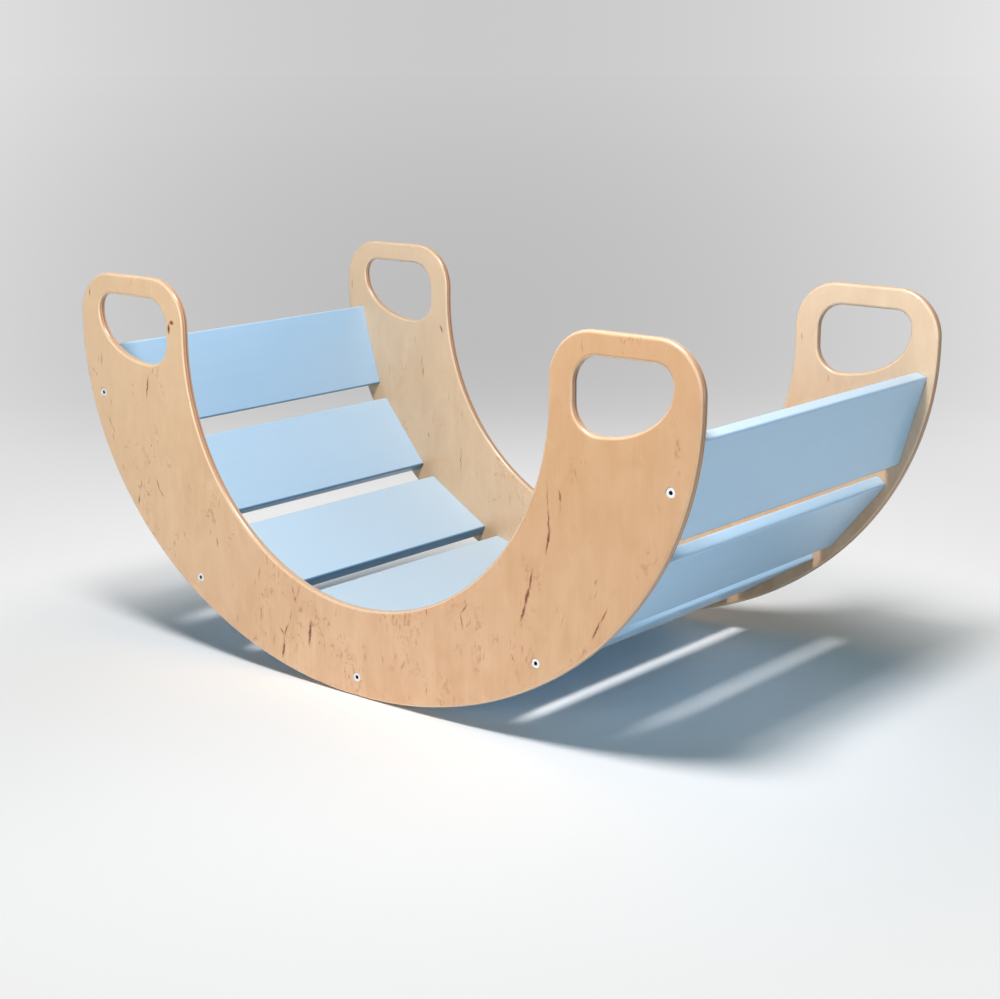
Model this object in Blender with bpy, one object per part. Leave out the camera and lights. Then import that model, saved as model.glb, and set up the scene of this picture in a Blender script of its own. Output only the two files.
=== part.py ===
"""Wooden rocker seesaw: two U-shaped plywood side panels joined by nine slats.

Metres, +Z up. X runs along the seesaw, Y across it. The origin is on the floor
in the middle, under the lowest point of the rockers.
"""
from math import acos, asin, cos, degrees, hypot, pi, radians, sin, sqrt

import bmesh
import bpy
from mathutils import Matrix, Vector

# Whole seesaw
LENGTH = 0.850
WIDTH = 0.445

# Side panel outline
PANEL_THICKNESS = 0.009
PANEL_DEPTH = 0.097          # height of the wood at the lowest point
HANDLE_WIDTH = 0.173         # each raised end, along X
HANDLE_CORNER = 0.050        # radius of the four upper corners
INNER_STRAIGHT = 0.017       # upright stretch between seat curve and corner
SIDE_STRAIGHT = 0.008        # upright stretch between rocker curve and corner
FLAT_LENGTH = 0.040          # short flat under the middle, so it stands still
EDGE_ROUND = 0.0025          # round-over along every edge

# Hand holes
GRIP_BAR = 0.024             # wood above the hole
INNER_BAR = 0.0295           # wood between hole and seat
OUTER_BAR = 0.0335           # wood between hole and the outer side
HOLE_HEIGHT = 0.073
HOLE_INNER_CORNER = 0.028
HOLE_OUTER_CORNER = 0.018
HOLE_SWEEP = 0.053           # height of the long curve low on the outer side

# Slats
SLAT_COUNT = 9
SLAT_GAP = 0.0218            # between neighbouring slats, along the curve they lie on
SLAT_THICKNESS = 0.015
SLAT_EDGE = 0.0025           # round-over along the slats
SLAT_TO_RIM = 0.014          # from the slats' undersides to the rocker edge
SLATS_ABOVE_HOLE = 0.010     # the top slats reach this far above the holes' lowest point
POCKET_DEPTH = 0.003         # how far each slat sits in the panels

# Screws
HEAD_DIAMETER = 0.010
HEAD_CHAMFER = 0.0004
HEAD_RIM = 0.0006            # upright rim between chamfer and cone
HEAD_SINK = 0.0002           # the head lies this deep in the panel
SCREW_DIAMETER = 0.0063
SCREW_LENGTH = 0.050
SCREW_POINT = 0.004          # length of the tapered point
POINT_DIAMETER = 0.002
SOCKET_ACROSS_FLATS = 0.004
SOCKET_DEPTH = 0.0025
BORE_SPARE = 0.003           # bore past the screw's point

# Fits
CLEARANCE = 0.0003           # between pieces that touch
CUT_PAST = 0.001             # how far cutters run past a face

# Fineness of the curves
ROCKER_STEPS = 23
SEAT_STEPS = 17
CORNER_STEPS = 6
SWEEP_STEPS = 7
EDGE_STEPS = 2
SLAT_EDGE_STEPS = 2
TURNED_SIDES = 18
PATH_STEPS = 360
SHARP_ANGLE = radians(40)
SAME_PLACE = 1e-6            # points nearer than this are one
MITRE_LIMIT = 0.5            # keeps an offset corner from running away

# Sizes that follow from the ones above
HALF_LENGTH = LENGTH / 2
SEAT_RADIUS = HALF_LENGTH - HANDLE_WIDTH
SEAT_CENTRE_Z = PANEL_DEPTH + SEAT_RADIUS
HEIGHT = SEAT_CENTRE_Z + INNER_STRAIGHT + HANDLE_CORNER
FLAT_ANGLE = asin(FLAT_LENGTH / 2 / HALF_LENGTH)
ROCKER_CENTRE_Z = HEIGHT - HANDLE_CORNER - SIDE_STRAIGHT
ROCKER_RISE = ROCKER_CENTRE_Z / cos(FLAT_ANGLE)
HOLE_TOP_Z = HEIGHT - GRIP_BAR
HOLE_LOW_Z = HOLE_TOP_Z - HOLE_HEIGHT
SLAT_INSET = SLAT_TO_RIM + SLAT_THICKNESS / 2
SLAT_LENGTH = WIDTH - 2 * (PANEL_THICKNESS - POCKET_DEPTH + CLEARANCE)
SCREW_RADIUS = SCREW_DIAMETER / 2
HEAD_RADIUS = HEAD_DIAMETER / 2
BORE_DEPTH = HEAD_SINK + SCREW_LENGTH + BORE_SPARE


def clear_scene():
    for old in list(bpy.data.objects):
        bpy.data.objects.remove(old, do_unlink=True)


def material(name, colour, roughness, metallic=0.0):
    made = bpy.data.materials.new(name)
    made.use_nodes = True
    shader = made.node_tree.nodes["Principled BSDF"]
    shader.inputs["Base Color"].default_value = (*colour, 1.0)
    shader.inputs["Roughness"].default_value = roughness
    shader.inputs["Metallic"].default_value = metallic
    return made


def birch_plywood():
    return material("birch_plywood", (0.72, 0.47, 0.29), 0.5)


def blue_paint():
    return material("blue_paint", (0.42, 0.66, 0.87), 0.45)


def zinc_steel():
    return material("zinc_steel", (0.75, 0.76, 0.78), 0.3, 1.0)


def mesh_from(bm, name):
    """Close the form: join its doubled points, turn its faces out and shade it."""
    bmesh.ops.remove_doubles(bm, verts=bm.verts, dist=SAME_PLACE)
    bmesh.ops.recalc_face_normals(bm, faces=bm.faces)
    mesh = bpy.data.meshes.new(name)
    bm.to_mesh(mesh)
    bm.free()
    mesh.shade_smooth()
    mesh.set_sharp_from_angle(angle=SHARP_ANGLE)
    return mesh


def place(name, mesh, finish, matrix):
    made = bpy.data.objects.new(name, mesh)
    if finish is not None and not mesh.materials:
        mesh.materials.append(finish)
    bpy.context.scene.collection.objects.link(made)
    made.matrix_world = matrix
    return made


def cut(target, cutter):
    """Take the cutter's form out of the target."""
    cutter.hide_render = True
    cutter.display_type = "WIRE"
    step = target.modifiers.new(cutter.name, "BOOLEAN")
    step.operation = "DIFFERENCE"
    step.solver = "EXACT"
    step.object = cutter


# Outlines are lists of (x, z) points, counter-clockwise round the wood

def arc(centre, radii, start, end, steps):
    """Points on an ellipse's arc; angles in degrees from +X towards +Z."""
    turn = [radians(start + (end - start) * i / steps) for i in range(steps + 1)]
    return [(centre[0] + radii[0] * cos(a), centre[1] + radii[1] * sin(a)) for a in turn]


def mirrored(points):
    return [(-x, z) for x, z in reversed(points)]


def panel_outline():
    """Outer edge of a side panel, from the middle of the rocker round both handles."""
    corner = (HANDLE_CORNER, HANDLE_CORNER)
    corner_z = HEIGHT - HANDLE_CORNER
    lowest = -90 + degrees(FLAT_ANGLE)
    rocker = arc((0, ROCKER_CENTRE_Z), (HALF_LENGTH, ROCKER_RISE), lowest, 0, ROCKER_STEPS)
    outer = arc((HALF_LENGTH - HANDLE_CORNER, corner_z), corner, 0, 90, CORNER_STEPS)
    inner = arc((SEAT_RADIUS + HANDLE_CORNER, corner_z), corner, 90, 180, CORNER_STEPS)
    seat = arc((0, SEAT_CENTRE_Z), (SEAT_RADIUS, SEAT_RADIUS), 0, -90, SEAT_STEPS)
    half = rocker + outer + inner + seat
    return half + mirrored(half)[1:]


def hole_outline():
    """The hand hole of the right end, clockwise, so that the wood is on its left."""
    inner_x = SEAT_RADIUS + INNER_BAR
    outer_x = HALF_LENGTH - OUTER_BAR
    low_x = inner_x + HOLE_INNER_CORNER
    inner = (HOLE_INNER_CORNER, HOLE_INNER_CORNER)
    outer = (HOLE_OUTER_CORNER, HOLE_OUTER_CORNER)
    points = arc((low_x, HOLE_LOW_Z + HOLE_SWEEP), (outer_x - low_x, HOLE_SWEEP), -90, 0, SWEEP_STEPS)
    points += arc((outer_x - outer[0], HOLE_TOP_Z - outer[1]), outer, 0, 90, CORNER_STEPS)
    points += arc((low_x, HOLE_TOP_Z - inner[1]), inner, 90, 180, CORNER_STEPS)
    points += arc((low_x, HOLE_LOW_Z + inner[1]), inner, 180, 270, CORNER_STEPS)[:-1]
    return points[::-1]


def slat_section(slat_width, grow=0.0):
    """A slat's cross-section about its middle: x across its width, z through it."""
    x = slat_width / 2 - SLAT_EDGE
    z = SLAT_THICKNESS / 2 - SLAT_EDGE
    edge = (SLAT_EDGE + grow, SLAT_EDGE + grow)
    points = []
    for start, corner in ((0, (x, z)), (90, (-x, z)), (180, (-x, -z)), (270, (x, -z))):
        points += arc(corner, edge, start, start + 90, SLAT_EDGE_STEPS)
    return points


def set_in(points, distance):
    """The outline moved into the wood by a distance."""
    moved = []
    for i, here in enumerate(points):
        back = Vector(here) - Vector(points[i - 1])
        ahead = Vector(points[(i + 1) % len(points)]) - Vector(here)
        first = Vector((-back.y, back.x)).normalized()
        second = Vector((-ahead.y, ahead.x)).normalized()
        middle = (first + second).normalized()
        moved.append(tuple(Vector(here) + middle * distance / max(middle.dot(first), MITRE_LIMIT)))
    return moved


def distinct(points):
    """Leave out points that repeat the one before them."""
    pairs = zip(points, points[-1:] + points[:-1])
    return [a for a, b in pairs if hypot(a[0] - b[0], a[1] - b[1]) > SAME_PLACE]


def ring(bm, points, y):
    return [bm.verts.new((x, y, z)) for x, z in points]


def ring_edges(bm, verts):
    pairs = zip(verts, verts[1:] + verts[:1])
    return [bm.edges.get(pair) or bm.edges.new(pair) for pair in pairs]


def join_rings(bm, lower, upper):
    count = len(lower)
    for i in range(count):
        j = (i + 1) % count
        bm.faces.new((lower[i], lower[j], upper[j], upper[i]))


def fill_between(bm, rings):
    """Flat face inside the first ring and outside the others."""
    edges = []
    for verts in rings:
        edges += ring_edges(bm, verts)
    bmesh.ops.triangle_fill(bm, use_beauty=True, use_dissolve=False, edges=edges)


def rounded_plate(bm, outlines, thickness, radius):
    """A plate from y = 0 to its thickness, its edges rounded over on both faces."""
    steps = [i * pi / 2 / EDGE_STEPS for i in range(EDGE_STEPS + 1)]
    near = [(radius * (1 - sin(a)), radius * (1 - cos(a))) for a in steps]
    profile = near + [(inset, thickness - y) for inset, y in reversed(near)]
    ends = ([], [])
    for outline in outlines:
        rings = [ring(bm, set_in(outline, inset), y) for inset, y in profile]
        for lower, upper in zip(rings, rings[1:]):
            join_rings(bm, lower, upper)
        ends[0].append(rings[0])
        ends[1].append(rings[-1])
    for rings in ends:
        fill_between(bm, rings)


def bar(bm, section, start, end, matrix=None):
    """A straight bar of one cross-section along Y."""
    near = ring(bm, section, start)
    far = ring(bm, section, end)
    join_rings(bm, near, far)
    bm.faces.new(near)
    bm.faces.new(far)
    if matrix is not None:
        bmesh.ops.transform(bm, matrix=matrix, verts=near + far)


def circle(radius, sides=TURNED_SIDES):
    return [(radius * cos(2 * pi * i / sides), radius * sin(2 * pi * i / sides)) for i in range(sides)]


def turned(bm, profile, centre=(0, 0)):
    """Rings of a turned form along Y from (radius, y) pairs; returns its end rings."""
    rings = []
    for radius, y in profile:
        rings.append(ring(bm, [(centre[0] + x, centre[1] + z) for x, z in circle(radius)], y))
    for lower, upper in zip(rings, rings[1:]):
        join_rings(bm, lower, upper)
    return rings[0], rings[-1]


# Where the slats lie: on a curve inside the rocker edge, at an even pitch

def slat_curve():
    """(length along the curve, x, z, slope) of the slats' middles on the right half."""
    points = []
    travelled = 0.0
    for i in range(PATH_STEPS + 1):
        a = pi / 2 * i / PATH_STEPS
        normal = Vector((sin(a) / HALF_LENGTH, -cos(a) / ROCKER_RISE)).normalized()
        edge = Vector((HALF_LENGTH * sin(a), ROCKER_CENTRE_Z - ROCKER_RISE * cos(a)))
        here = edge - normal * SLAT_INSET
        if points:
            travelled += hypot(here.x - points[-1][1], here.y - points[-1][2])
        points.append((travelled, here.x, here.y, acos(min(1.0, -normal.y))))
    rest = HEIGHT - points[-1][2]
    points.append((travelled + rest, points[-1][1], HEIGHT, pi / 2))
    return points


def between(points, column, value):
    """The curve's point where one of its columns has the value."""
    for low, high in zip(points, points[1:]):
        if high[column] >= value:
            share = (value - low[column]) / (high[column] - low[column])
            return [a + (b - a) * share for a, b in zip(low, high)]
    return list(points[-1])


def slat_layout():
    """The slats' width, and (x, z, slope) of each one from the left end to the right."""
    curve = slat_curve()
    run = 2 * between(curve, 2, HOLE_LOW_Z + SLATS_ABOVE_HOLE)[0]
    pitch = (run + SLAT_GAP) / SLAT_COUNT
    places = []
    for i in range(SLAT_COUNT):
        along = (i - (SLAT_COUNT - 1) / 2) * pitch
        _, x, z, slope = between(curve, 0, abs(along))
        side = 1 if along >= 0 else -1
        places.append((side * x, z, side * slope))
    return pitch - SLAT_GAP, places


def screwed(index):
    """Every second slat, counted from the nearer end, is screwed."""
    return min(index, SLAT_COUNT - 1 - index) % 2 == 0


def slat_matrix(place_of_slat):
    x, z, slope = place_of_slat
    return Matrix.Translation((x, 0, z)) @ Matrix.Rotation(-slope, 4, "Y")


# Pieces

def head_profile(grow=0.0):
    """(radius, depth) of the countersunk head, from its cone's rim to the shank."""
    cone = HEAD_RADIUS - SCREW_RADIUS
    start = HEAD_CHAMFER + HEAD_RIM
    slant = grow * (sqrt(2) - 1)
    return [(HEAD_RADIUS + grow, start + slant), (SCREW_RADIUS + grow, start + cone + slant)]


def panel_mesh():
    bm = bmesh.new()
    hole = hole_outline()
    outlines = [distinct(points) for points in (panel_outline(), hole, mirrored(hole))]
    rounded_plate(bm, outlines, PANEL_THICKNESS, EDGE_ROUND)
    return mesh_from(bm, "side_panel")


def pocket_mesh(slat_width, places):
    """The pockets in a panel's inner face, one for each slat."""
    bm = bmesh.new()
    floor = PANEL_THICKNESS - POCKET_DEPTH
    past = PANEL_THICKNESS + CUT_PAST
    for spot in places:
        bar(bm, slat_section(slat_width, CLEARANCE), floor, past, slat_matrix(spot))
    return mesh_from(bm, "pockets")


def screw_hole_mesh(spots):
    """The countersunk holes through a panel, one for each screw."""
    bm = bmesh.new()
    rim, neck = head_profile(CLEARANCE)
    end = PANEL_THICKNESS - POCKET_DEPTH + CUT_PAST
    profile = [(rim[0], -CUT_PAST), (rim[0], rim[1] + HEAD_SINK)]
    profile += [(neck[0], neck[1] + HEAD_SINK), (neck[0], end)]
    for x, z in spots:
        for cap in turned(bm, profile, (x, z)):
            bm.faces.new(cap)
    return mesh_from(bm, "screw_holes")


def side_panel(name, side, mesh, pockets, screw_holes, finish):
    """One panel: side is -1 for the front one and 1 for the back one."""
    turn = 0 if side < 0 else pi
    matrix = Matrix.Translation((0, side * WIDTH / 2, 0)) @ Matrix.Rotation(turn, 4, "Z")
    panel = place(name, mesh, finish, matrix)
    cut(panel, place(name + "_pockets", pockets, None, matrix))
    cut(panel, place(name + "_screw_holes", screw_holes, None, matrix))
    return matrix


def slat_mesh(slat_width):
    bm = bmesh.new()
    bar(bm, slat_section(slat_width), -SLAT_LENGTH / 2, SLAT_LENGTH / 2)
    return mesh_from(bm, "slat")


def slat_bore_mesh():
    """A bore for a screw in each end of a slat."""
    bm = bmesh.new()
    radius = SCREW_RADIUS + CLEARANCE
    for side in (-1, 1):
        depth = side * (WIDTH / 2 - BORE_DEPTH)
        outside = side * (SLAT_LENGTH / 2 + CUT_PAST)
        for cap in turned(bm, [(radius, depth), (radius, outside)]):
            bm.faces.new(cap)
    return mesh_from(bm, "slat_bores")


def slats(mesh, places, finish):
    bores = slat_bore_mesh()
    for i, spot in enumerate(places):
        slat = place(f"slat_{i + 1}", mesh, finish, slat_matrix(spot))
        if screwed(i):
            cut(slat, place(f"slat_{i + 1}_bores", bores, None, slat_matrix(spot)))


def screw_mesh():
    """A countersunk screw along +Y, its head at y = 0, with a hexagon socket."""
    bm = bmesh.new()
    profile = [(HEAD_RADIUS - HEAD_CHAMFER, 0), (HEAD_RADIUS, HEAD_CHAMFER)]
    profile += head_profile()
    profile += [(SCREW_RADIUS, SCREW_LENGTH - SCREW_POINT), (POINT_DIAMETER / 2, SCREW_LENGTH)]
    top, point = turned(bm, profile)
    bm.faces.new(point)
    hexagon = circle(SOCKET_ACROSS_FLATS / sqrt(3), 6)
    mouth = ring(bm, hexagon, 0)
    bottom = ring(bm, hexagon, SOCKET_DEPTH)
    join_rings(bm, mouth, bottom)
    bm.faces.new(bottom)
    fill_between(bm, [top, mouth])
    return mesh_from(bm, "screw")


def screws(name, panel_matrix, spots, finish, mesh):
    """The screws of one panel, each at the middle of its slat."""
    for i, (x, z) in enumerate(spots):
        spot = panel_matrix @ Matrix.Translation((x, HEAD_SINK, z))
        place(f"{name}_{i + 1}", mesh, finish, spot)


def main():
    clear_scene()
    wood, paint, steel = birch_plywood(), blue_paint(), zinc_steel()
    slat_width, places = slat_layout()
    spots = [(x, z) for i, (x, z, _) in enumerate(places) if screwed(i)]
    panel, screw = panel_mesh(), screw_mesh()
    pockets, screw_holes = pocket_mesh(slat_width, places), screw_hole_mesh(spots)
    for word, side in (("front", -1), ("back", 1)):
        matrix = side_panel(f"side_panel_{word}", side, panel, pockets, screw_holes, wood)
        screws(f"screw_{word}", matrix, spots, steel, screw)
    slats(slat_mesh(slat_width), places, paint)


main()
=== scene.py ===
"""Looks of the wooden rocker seesaw: plywood, paint and screws, with the studio and the camera.

Metres, +Z up. X runs along the seesaw, Y across it. The origin is on the floor in the middle.
"""

from math import asin, atan2, copysign, cos, degrees, hypot, pi, radians, sin, sqrt

import bmesh
import bpy
from mathutils import Matrix, Vector


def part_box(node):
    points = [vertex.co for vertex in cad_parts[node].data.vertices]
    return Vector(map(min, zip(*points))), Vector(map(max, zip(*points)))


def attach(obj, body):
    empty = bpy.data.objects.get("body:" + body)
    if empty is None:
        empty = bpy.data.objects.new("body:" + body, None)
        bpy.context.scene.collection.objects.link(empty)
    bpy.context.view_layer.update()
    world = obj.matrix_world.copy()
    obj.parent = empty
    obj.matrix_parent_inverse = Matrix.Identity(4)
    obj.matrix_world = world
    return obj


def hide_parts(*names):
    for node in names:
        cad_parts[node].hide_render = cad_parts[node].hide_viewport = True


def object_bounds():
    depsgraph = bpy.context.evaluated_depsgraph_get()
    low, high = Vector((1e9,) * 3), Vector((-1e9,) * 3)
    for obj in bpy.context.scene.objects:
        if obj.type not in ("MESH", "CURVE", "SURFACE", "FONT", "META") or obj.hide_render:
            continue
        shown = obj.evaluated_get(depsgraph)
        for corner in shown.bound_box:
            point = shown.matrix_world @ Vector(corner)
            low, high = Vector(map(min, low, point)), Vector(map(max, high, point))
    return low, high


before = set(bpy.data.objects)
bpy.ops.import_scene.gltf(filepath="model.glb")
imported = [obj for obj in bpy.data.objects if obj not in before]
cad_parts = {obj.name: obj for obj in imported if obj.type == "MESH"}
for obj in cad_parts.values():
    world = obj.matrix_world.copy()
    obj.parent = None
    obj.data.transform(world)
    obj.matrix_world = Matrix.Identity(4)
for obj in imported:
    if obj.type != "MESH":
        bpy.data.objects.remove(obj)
CAD_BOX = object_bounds()
MM = 0.001

# Side panels: the outline's sizes, as in the construction
PANEL_DEPTH = 0.097
HANDLE_WIDTH = 0.173
HANDLE_CORNER = 0.050
SIDE_STRAIGHT = 0.008
FLAT_LENGTH = 0.040
EDGE_ROUND = 0.0038          # softer than in the construction, as the photograph shows
GRIP_BAR = 0.024
INNER_BAR = 0.0295
OUTER_BAR = 0.0335
HOLE_HEIGHT = 0.073
HOLE_INNER_CORNER = 0.028
HOLE_OUTER_CORNER = 0.018
HOLE_SWEEP = 0.053

# Slats and screws
SLAT_EDGE = 0.0025
POCKET_DEPTH = 0.003
HEAD_DIAMETER = 0.010
HEAD_CHAMFER = 0.0004
HEAD_RIM = 0.0006
HEAD_SINK = 0.0002
SCREW_DIAMETER = 0.0063
SCREW_LENGTH = 0.050
SCREW_POINT = 0.004
POINT_DIAMETER = 0.002
SOCKET_ACROSS_FLATS = 0.004
SOCKET_DEPTH = 0.0025
SOCKET_CHAMFER = 0.0003
SOCKET_SIDES = 6
CLEARANCE = 0.0003
SCREWS_A_SIDE = 5
SIDES = (("front", -1), ("back", 1))         # a panel's word and the side of Y that it is on

# Fineness of the curves
ROCKER_STEPS = 110
SEAT_STEPS = 90
CORNER_STEPS = 22
SWEEP_STEPS = 28
EDGE_STEPS = 10
SLAT_EDGE_STEPS = 8
TURNED_SIDES = 48
FLAT_BAND = 0.0003           # narrow flat strip that keeps the shading of a flat face flat
SHARP_ANGLE = radians(32)
SAME_PLACE = 1e-6
LEVEL = 0.01                 # a slat whose side axis climbs less than this lies level

# Sizes that follow from the frame
HALF_LENGTH = CAD_BOX[1].x
WIDTH = CAD_BOX[1].y - CAD_BOX[0].y
HEIGHT = CAD_BOX[1].z
FRONT_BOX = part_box("side_panel_front")
PANEL_THICKNESS = FRONT_BOX[1].y - FRONT_BOX[0].y
PANEL_MIDDLE = WIDTH / 2 - PANEL_THICKNESS / 2
SEAT_RADIUS = HALF_LENGTH - HANDLE_WIDTH
SEAT_CENTRE_Z = PANEL_DEPTH + SEAT_RADIUS
FLAT_ANGLE = asin(FLAT_LENGTH / 2 / HALF_LENGTH)
ROCKER_CENTRE_Z = HEIGHT - HANDLE_CORNER - SIDE_STRAIGHT
ROCKER_RISE = ROCKER_CENTRE_Z / cos(FLAT_ANGLE)
HOLE_TOP_Z = HEIGHT - GRIP_BAR
HOLE_LOW_Z = HOLE_TOP_Z - HOLE_HEIGHT
HEAD_RADIUS = HEAD_DIAMETER / 2
SCREW_RADIUS = SCREW_DIAMETER / 2
SLAT_NAMES = sorted(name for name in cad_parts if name.startswith("slat_"))

# Dark marks in the veneer of the face that the camera sees, listed in millimetres:
# x and z of the upper end, x and z of the lower end, half width, darkness.
# The panel's other face shows them mirrored.
FRONT_MARKS = [
    (-270, 371.5, -270, 367, 3.4, 1.0), (-274.5, 367, -275, 357, 1.7, 1.0),
    (-333, 414, -337, 403, 1.1, 0.30), (-407, 396, -408, 386, 1.2, 0.55),
    (-392, 324, -393, 309, 0.9, 0.55), (-397, 320, -399, 312, 0.9, 0.35),
    (-411, 306, -405, 301, 1.0, 0.40), (-405, 302, -402, 296, 0.9, 0.40),
    (-313, 305, -317, 282, 1.4, 0.80), (-304, 316, -306, 308, 0.9, 0.40),
    (-378, 272, -381, 263, 0.9, 0.35), (-385, 252, -380, 241, 1.0, 0.50),
    (-379, 241, -374, 233, 0.9, 0.45), (-379, 233, -378, 223, 0.9, 0.40),
    (-363, 200, -363, 190, 1.1, 0.35), (-332, 185, -334, 175, 0.9, 0.45),
    (-337, 166, -339, 155, 1.2, 0.70), (-306, 189, -301, 176, 1.0, 0.65),
    (-301, 178, -295, 169, 0.9, 0.60), (-247, 291, -247, 281, 0.9, 0.30),
    (-203, 182, -204, 172, 1.1, 0.40), (-215, 170, -217, 159, 1.0, 0.45),
    (-213, 159, -211, 150, 0.9, 0.40), (-218, 146, -220, 138, 0.9, 0.35),
    (-209, 138, -208, 126, 1.2, 0.55), (-142, 116, -145, 101, 1.0, 0.55),
    (-150, 101, -152, 92, 0.9, 0.40), (-94, 106, -90, 93, 1.0, 0.55),
    (-80, 108, -87, 92, 0.9, 0.50), (-90, 93, -88, 86, 1.2, 0.60),
    (-95, 76, -97, 63, 1.2, 0.50), (-100, 60, -107, 45, 1.2, 0.70),
    (-113, 53, -107, 46, 1.1, 0.65), (-107, 47, -108, 34, 0.9, 0.55),
    (-107, 38, -110, 21, 1.6, 1.0), (-121, 45, -124, 32, 0.9, 0.40),
    (-66, 68, -69, 44, 2.1, 1.0), (-129, 74, -128, 55, 0.9, 0.30),
    (-180, 57, -180, 45, 1.0, 0.40), (-185, 92, -187, 82, 0.9, 0.30),
    (-21, 46, -23, 35, 1.8, 0.35), (13, 51, 12, 41, 1.9, 0.35),
    (37, 53, 38, 44, 1.7, 0.35), (56, 60, 55, 50, 1.8, 0.30),
    (99, 116, 99, 107, 1.1, 0.55), (-28, 91, -29, 81, 1.0, 0.35),
    (154, 131, 144, 118, 1.1, 0.60), (144, 119, 147, 103, 1.2, 0.60),
    (163, 94, 163, 84, 1.1, 0.35), (98, 32, 98, 24, 1.1, 0.50),
    (74, 18, 74, 12, 1.0, 0.40), (194, 187, 195, 174, 0.9, 0.30),
    (235, 179, 231, 158, 1.3, 0.85), (231, 161, 226, 143, 2.1, 1.0),
    (227, 145, 221, 126, 1.5, 0.90), (252, 268, 254, 236, 0.8, 0.55),
    (254, 242, 255, 218, 1.2, 0.85), (255.5, 222, 252, 200, 1.5, 1.0),
    (209, 90, 214, 82, 1.0, 0.50), (267, 262, 269, 251, 1.3, 0.80),
    (268, 251, 268, 236, 0.8, 0.35), (292, 409, 292, 391, 0.8, 0.35),
    (353, 415, 354, 407, 0.9, 0.25), (324, 158, 316, 142, 1.0, 0.70),
    (316, 144, 307, 125, 1.2, 0.85), (311, 184, 310, 177, 1.0, 0.50),
    (312, 175, 309, 163, 1.1, 0.30), (305, 170, 303, 160, 1.0, 0.30),
    (273, 142, 270, 129, 1.0, 0.35), (265, 150, 265, 141, 0.9, 0.30),
    (298, 115, 295, 105, 1.0, 0.40), (203, 66, 201, 54, 0.9, 0.30),
    (234, 78, 232, 68, 0.9, 0.25), (380, 267, 381, 257, 0.8, 0.25),
]
BACK_MARKS = [
    (-265, 317, -260, 308, 1.2, 0.85), (-295, 275, -297, 259, 1.0, 0.40),
    (-294, 261, -294, 247, 1.2, 0.55), (-417, 363, -417, 350, 1.0, 0.40),
    (-307, 300, -307, 289, 1.0, 0.35), (-286, 176, -286, 169, 1.4, 0.50),
    (-231, 162, -231, 131, 0.8, 0.60), (-150, 116, -150, 100, 0.9, 0.35),
    (-353, 257, -353, 243, 0.9, 0.30), (261, 358, 262, 348, 1.1, 0.45),
    (296, 316, 297, 307, 1.1, 0.35), (-372, 301, -371, 291, 0.9, 0.30),
    (-229, 213, -229, 201, 0.9, 0.30), (-250, 232, -251, 219, 0.8, 0.30),
    (-330, 262, -331, 250, 0.9, 0.25), (-205, 140, -204, 126, 0.9, 0.25),
]


def grey(level):
    return (level, level, level, 1.0)


def srgb(red, green, blue):
    """A colour as a screen shows it, 0 to 255, as the linear colour that shaders take."""
    def linear(value):
        share = value / 255
        return share / 12.92 if share <= 0.04045 else ((share + 0.055) / 1.055) ** 2.4
    return (linear(red), linear(green), linear(blue), 1.0)


# Birch plywood
FACE_LIGHT = srgb(246, 208, 167)
FACE_DARK = srgb(218, 167, 118)
FACE_PINK = srgb(233, 186, 146)
# painted sheen towards the raised ends of the back panel
FACE_PAINTED_SHEEN = srgb(252, 229, 200)
FACE_WARM = srgb(255, 218, 174)
FACE_GOLDEN = srgb(218, 167, 116)
# painted highlight along the rims of the panels
FACE_PAINTED_HIGHLIGHT = srgb(255, 234, 206)
SQUIGGLE = srgb(190, 122, 74)
MARK_HALO = srgb(192, 122, 72)
MARK_CORE = srgb(108, 46, 20)
PLY_LONG = srgb(248, 214, 176)
PLY_END = srgb(158, 90, 42)
GLUE = srgb(150, 96, 60)
FRONT_TURNS = [              # slow turns of the veneer's colour: colour, from and to (x, z), share
    (FACE_WARM, (-0.06, 0.02), (-0.38, 0.38), 0.66),
    (FACE_GOLDEN, (-0.08, 0.05), (0.34, 0.28), 0.55),
]
# painted light on the back panel: a warmer, lighter tone towards the left, and a painted sheen,
# paler, towards both raised ends
BACK_TURNS_PAINTED_LIGHT = [
    (FACE_WARM, (0.05, 0.0), (-0.12, 0.10), 0.42),
    (FACE_PAINTED_SHEEN, (-0.22, 0.22), (-0.38, 0.42), 0.40),
    (FACE_PAINTED_SHEEN, (0.20, 0.20), (0.32, 0.42), 0.56),
]
NOISE_RANGE = (0.3, 0.7)     # where most of a noise's values lie
NOISE_MIDDLE = 0.5

# Grain of the face veneer. Scales are per metre. A stretch below 1 draws the grain out upwards,
# and a share says how much of the darker colour the grain brings.
FACES_APART = 3.1            # a panel's two faces take their grain from places this far apart
FIBRE_SCALE = 900.0
FIBRE_STRETCH = 0.03
FIBRE_SHARE = 0.26
BAND_SCALE = 45.0
BAND_STRETCH = 0.14
BAND_SHARE = 0.44
CLOUD_SCALE = 38.0
CLOUD_STRETCH = 0.6
CLOUD_SHARE = 0.60
DRIFT_SCALE = 6.0
DRIFT_RANGE = (0.35, 0.65)
PINK_SHARE = 0.5
HIGHLIGHT_FROM = 0.995          # the normal's part across the panel where the painted highlight on the rounded edge starts, and where it is full
HIGHLIGHT_FULL = 0.80           # and where it is full
HIGHLIGHT_SHARE = 0.55

# Curly figure: level lines of a noise, broken up, in patches
FRONT_FIGURE = 0.70          # how strongly it shows on each panel
BACK_FIGURE = 0.35
CURL_SCALE = 80.0
CURL_STRETCH = 0.42
CURL_HALF_WIDTH = 0.060      # in the noise's own values
BREAK_SCALE = 150.0
BREAK_RANGE = (0.45, 0.60)
PATCH_SCALE = 26.0
PATCH_STRETCH = 0.7
PATCH_RANGE = (0.50, 0.62)
FEWER_RANGE = (0.12, 0.36)   # heights between which the patches get fewer
FEWER_BY = 0.12

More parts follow.
